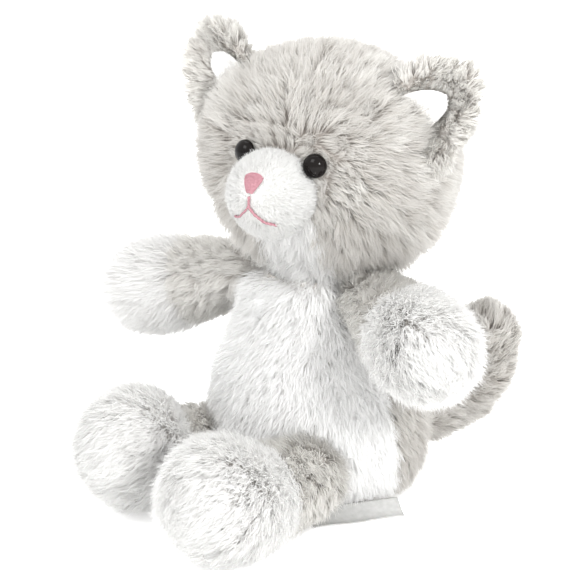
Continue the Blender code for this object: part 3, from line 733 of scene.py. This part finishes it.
def on_muzzle(head, tree, aside, rise, lift):
    """A point over the muzzle, from its place aside of and above the muzzle's centre."""
    start = head["muzzle"] + head["aside"] * aside + head["up"] * rise
    start = start + head["ahead"] * 50 * MM
    place, normal, _, _ = tree.ray_cast(Vector(start), Vector(-head["ahead"]))
    return np.array(place) + np.array(normal) * lift


def in_face(head, name):
    """Points of a CAD node as aside and rise from the muzzle's centre."""
    points = arrays(NODES[name].data)[0] - head["muzzle"]
    return points @ head["aside"], points @ head["up"]


def build_nose(head, tree):
    """Rows of satin stitch, wider towards the top and bowed out over the middle."""
    aside, rise = in_face(head, "nose_embroidery")
    low, high = rise.min() + 1.0 * MM, rise.max() - 0.9 * MM
    half = np.ptp(aside) / 2 - 1.0 * MM
    middle = (aside.max() + aside.min()) / 2
    paths = []
    for i in range(NOSE_ROWS):
        t = (i + 0.5) / NOSE_ROWS
        top = min(1.0, 0.55 + 3.2 * (1 - t)) if t > 0.82 else 1.0
        reach = half * top * (0.28 + 0.78 * min(t / 0.7, 1.0) ** 0.8)
        row = low + (high - low) * t
        lift = 0.62 * MM + 0.25 * MM * math.sin(math.pi * t)
        paths.append(np.array([
            on_muzzle(head, tree, middle + reach * u, row - 0.25 * MM * u * u,
                      lift + 0.35 * MM * (1 - u * u))
            for u in np.linspace(-1, 1, 13)
        ]))
    thread_tubes("nose_stitches", paths, NOSE_THREAD, ["nose_embroidery"])


def build_mouth(head, tree):
    """Each stitch is two plies twisted round the middle line of its CAD node."""
    for name in MOUTH:
        aside, rise = in_face(head, name)
        order = np.argsort(rise if name == "mouth_stem_stitch" else aside)
        chunks = np.array_split(order, 9)
        spots = np.array([(aside[c].mean(), rise[c].mean()) for c in chunks])
        # Each end runs on a little, so that the stitches meet.
        first, last = 2.2 * spots[0] - 1.2 * spots[1], 2.2 * spots[-1] - 1.2 * spots[-2]
        spots = np.vstack([first, spots, last])
        t = np.linspace(0, len(spots) - 1, MOUTH_STEPS)
        mid = np.stack([np.interp(t, range(len(spots)), spots[:, k]) for k in (0, 1)], 1)
        plies = []
        for start in (0, math.pi):
            turns = np.linspace(0, 7 * math.pi, MOUTH_STEPS) + start
            plies.append(np.array([
                on_muzzle(head, tree, a + MOUTH_PLY * math.cos(w), r + MOUTH_PLY * math.cos(w),
                          0.8 * MM + MOUTH_PLY * math.sin(w))
                for (a, r), w in zip(mid, turns)
            ]))
        thread_tubes(name + "_thread", plies, MOUTH_THREAD, [name])


# Ears

EAR_LENGTH, EAR_TRIM = 9 * MM, 6 * MM  # of the pile, and how much less of it beside the lining
LINING_RIM, TRIM_REACH = 1.5 * MM, 6 * MM  # bare this near to the lining, then trimmed
LINING_NAP = 1.3 * MM


def build_ear(side, head, rng):
    back, lining = "ear_back_" + side, "ear_lining_" + side
    skin = make_skin(
        "ear_skin_" + side, "head", [back], "grey_backing",
        inset=0.3 * MM, voxel=1.0 * MM,
    )
    roots, normals = scatter(skin, EAR_DENSITY, rng)
    base = centre_of(back)
    up = unit(base - head["middle"])
    to_lining = distance_to(roots, [lining])
    onward = normals @ head["ahead"]
    keep = ~((onward > 0.3) & (to_lining < LINING_RIM))
    roots, normals = roots[keep], normals[keep]
    to_lining, onward = to_lining[keep], onward[keep]
    comb = unit(roots - base) + 0.5 * up
    # Short round the lining, so that it still shows.
    beside = (onward > 0) * (1 - smoothstep(LINING_RIM, TRIM_REACH, to_lining))
    length = EAR_LENGTH - EAR_TRIM * beside
    grow("ear_pile_" + side, "head", "grey_pile", roots, normals, comb, length, rng,
         EAR_DENSITY, lift=52, tone=(0.92, 0.12))
    inner = make_skin(
        "ear_satin_" + side, "head", [lining], "satin",
        inset=0.0, voxel=0.45 * MM, rounds=4,
    )
    roots, normals = scatter(inner, BODY_DENSITY, rng)
    front = normals @ head["ahead"] > 0.2
    roots, normals = roots[front], normals[front]
    comb = np.tile(up, (len(roots), 1))
    length = np.full(len(roots), LINING_NAP)
    grow("ear_velvet_" + side, "head", "white_pile", roots, normals, comb, length,
         rng, BODY_DENSITY, lift=25, tufts=(2.5, 1.0), pull=(0.3, 0.5), width=0.22,
         tone=(0.7, 0.2))


# Neck, label, hidden pieces

NECK_LENGTHS = (9 * MM, 18 * MM)

# The two layers of the ribbon label lie within the thickness of the CAD label.
LABEL_THICKNESS = 0.14 * MM
LABEL_HALF_GAP = 0.17 * MM  # from the middle of the fold to the middle of a layer
LABEL_INSET = 0.3 * MM
LABEL_RIPPLE = 0.5 * MM
LABEL_STEPS = 13


def build_neck(rng):
    """The neck's pile hangs over the torso, so that no gap shows when the head turns."""
    skin = make_skin(
        "neck_skin", "neck", ["neck_stuffing"], "white_backing",
        inset=0.2 * MM, voxel=1.2 * MM,
    )
    roots, normals = scatter(skin, BODY_DENSITY, rng)
    low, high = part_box("neck_stuffing")
    lower = roots[:, 2] < low.z + 0.45 * (high.z - low.z)
    keep = lower & (np.abs(normals[:, 2]) < 0.9)
    roots, normals = roots[keep], normals[keep]
    comb = np.tile(DOWN, (len(roots), 1))
    length = rng.uniform(*NECK_LENGTHS, len(roots))
    backs = ["back_panel_left", "back_panel_right"]
    white = nearest_of(roots, [["belly_panel"], backs]) == 0
    for name, mask, kind, slot in (
        ("neck_pile_front", white, "white_pile", "white_fur"),
        ("neck_pile_back", ~white, "grey_pile", "grey_fur"),
    ):
        grow(name, "neck", kind, roots[mask], normals[mask], comb[mask], length[mask],
             rng, BODY_DENSITY, lift=72)


def build_label():
    """A blank satin ribbon folded in half, both ends in the seat seam, inside the CAD label."""
    points = arrays(NODES["care_label"].data)[0]
    middle = points.mean(0)
    axes = np.linalg.svd(points[:, :2] - middle[:2], full_matrices=False)[2]
    along = np.append(axes[0], 0)
    outward = np.array([-along[1], along[0], 0])
    if outward @ middle < 0:
        along, outward = -along, -outward
    out, aside = points @ outward, points @ along
    # The middle of the CAD label's section, from the seam to the fold.
    section = np.polynomial.Polynomial.fit(out, points[:, 2], 3)
    way = np.linspace(out.min() + LABEL_INSET, out.max() - LABEL_INSET, LABEL_STEPS)
    line = np.stack([way, section(way)], 1)
    along_line = unit(np.gradient(line, axis=0))
    over = np.stack([-along_line[:, 1], along_line[:, 0]], 1)
    turns = np.linspace(math.pi / 2, -math.pi / 2, 7)[1:-1, None]
    fold = line[-1] + LABEL_HALF_GAP * (np.cos(turns) * along_line[-1] + np.sin(turns) * over[-1])
    path = np.vstack([line + LABEL_HALF_GAP * over, fold, (line - LABEL_HALF_GAP * over)[::-1]])
    shares = np.linspace(0, 1, 2 * LABEL_STEPS + 1)
    ripple = LABEL_RIPPLE * (0.5 + 0.5 * np.sin(9.0 * shares))
    loose = smoothstep(way[0], way[-1], path[:, 0])
    grid = (
        path[None, :, :1] * outward
        + (aside.min() + np.ptp(aside) * shares)[:, None, None] * along
        + (path[None, :, 1:] + (ripple[:, None] * loose)[:, :, None]) * [0, 0, 1]
    )
    rows, columns = grid.shape[:2]
    index = np.arange(rows * columns).reshape(rows, columns)
    corners = [index[:-1, :-1], index[1:, :-1], index[1:, 1:], index[:-1, 1:]]
    faces = np.stack([corner.ravel() for corner in corners], 1)
    mesh = bpy.data.meshes.new("ribbon_label")
    mesh.from_pydata(grid.reshape(-1, 3).tolist(), [], faces.tolist())
    piece = link(bpy.data.objects.new("ribbon_label", mesh))
    cloth = piece.modifiers.new("Thickness", "SOLIDIFY")
    cloth.thickness = LABEL_THICKNESS
    cloth.offset = 0
    settle(piece)
    piece.data.materials.clear()
    piece.data.materials.append(MATERIALS["label_ribbon"])
    piece.data.shade_smooth()
    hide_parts("care_label")
    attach(piece, "torso")


def finish_hidden():
    """The CAD nodes that stay are inside the skins or under the pile."""
    for name, material in (
        ("pellet_pouch", "pouch_cloth"), ("closing_stitches", "seam_thread"),
        ("eye_washer_left", "washer"), ("eye_washer_right", "washer"),
    ):
        NODES[name].data.materials.clear()
        NODES[name].data.materials.append(MATERIALS[material])


# Stage

FLOOR_REACH, FLOOR_GLOW = 6.0, 0.4
WORLD_STRENGTH = 1.45
LIT_POINT = Vector((0, 0, 0.09))
LAMPS = (  # name, place, size, watts
    ("key", (0.15, -1.3, 1.5), 0.8, 11),
    ("fill", (1.5, -0.4, 0.8), 0.3, 17),
    ("top", (-0.5, 0.6, 1.8), 1.2, 12),
)
DIFFUSE_BOUNCES = 8  # light goes on between white strands for longer than the default 4


def build_stage():
    mesh = bpy.data.meshes.new("studio_floor")
    corners = [(-1, -1), (1, -1), (1, 1), (-1, 1)]
    points = [(FLOOR_REACH * x, FLOOR_REACH * y, 0) for x, y in corners]
    mesh.from_pydata(points, [], [(0, 1, 2, 3)])
    floor = link(bpy.data.objects.new("studio_floor", mesh))
    floor.data.materials.append(cloth_material(
        "pale_floor", (0.93, 0.93, 0.93), (0.94, 0.94, 0.94), scale=3, bump=0.0,
        Emission_Color=(1, 1, 1, 1), Emission_Strength=FLOOR_GLOW,
    ))
    world = bpy.data.worlds.new("studio")
    bpy.context.scene.world = world
    world.use_nodes = True
    background = world.node_tree.nodes["Background"]
    background.inputs["Color"].default_value = (1, 1, 1, 1)
    background.inputs["Strength"].default_value = WORLD_STRENGTH
    for name, place, size, watts in LAMPS:
        light = bpy.data.lights.new(name, "AREA")
        light.size = size
        light.energy = watts
        lamp = link(bpy.data.objects.new(name, light))
        lamp.location = place
        aim = LIT_POINT - Vector(place)
        lamp.rotation_euler = aim.to_track_quat("-Z", "Y").to_euler()


def build_camera():
    azimuth, elevation = math.radians(CAMERA_AZIMUTH), math.radians(CAMERA_ELEVATION)
    roll = math.radians(CAMERA_ROLL)
    level = math.cos(elevation)
    back = Vector((math.sin(azimuth) * level, -math.cos(azimuth) * level, math.sin(elevation)))
    right = Vector((math.cos(azimuth), math.sin(azimuth), 0))
    up = back.cross(right)
    aside = math.cos(roll) * SEAT_ASIDE - math.sin(roll) * SEAT_DROP
    drop = math.sin(roll) * SEAT_ASIDE + math.cos(roll) * SEAT_DROP
    target = up * drop - right * aside
    lens = bpy.data.cameras.new("camera")
    lens.lens = lens.sensor_width * CAMERA_DISTANCE / VIEW_WIDTH
    camera = link(bpy.data.objects.new("camera", lens))
    turn = Matrix((right, up, back)).transposed() @ Matrix.Rotation(-roll, 3, "Z")
    camera.matrix_world = Matrix.Translation(target + back * CAMERA_DISTANCE) @ turn.to_4x4()
    bpy.context.scene.camera = camera
    bpy.context.scene.view_settings.view_transform = "Standard"
    bpy.context.scene.cycles.diffuse_bounces = DIFFUSE_BOUNCES


def main():
    rng = np.random.default_rng(11)
    head = head_frame()
    build_torso(rng)
    build_head(head, rng)
    points, faces, _ = arrays(build_muzzle(head, rng).data)
    muzzle_tree = BVHTree.FromPolygons(points.tolist(), faces.tolist())
    build_nose(head, muzzle_tree)
    build_mouth(head, muzzle_tree)
    # The order of the pieces sets the random draws, so the same pile grows every time.
    for side in SIDES:
        build_eye(side)
        build_ear(side, head, rng)
        build_limb(("arm_sleeve", "paw", "arm_stuffing"), side, "arm_" + side, rng,
                   lengths=(SLEEVE_LENGTH, PAW_LENGTH), lift=58)
        build_limb(("thigh", "foot", "leg_stuffing"), side, "leg_" + side, rng,
                   lengths=(THIGH_LENGTH, FOOT_LENGTH), lift=55)
    build_tail(rng)
    build_neck(rng)
    build_label()
    finish_hidden()
    build_stage()
    build_camera()


main()
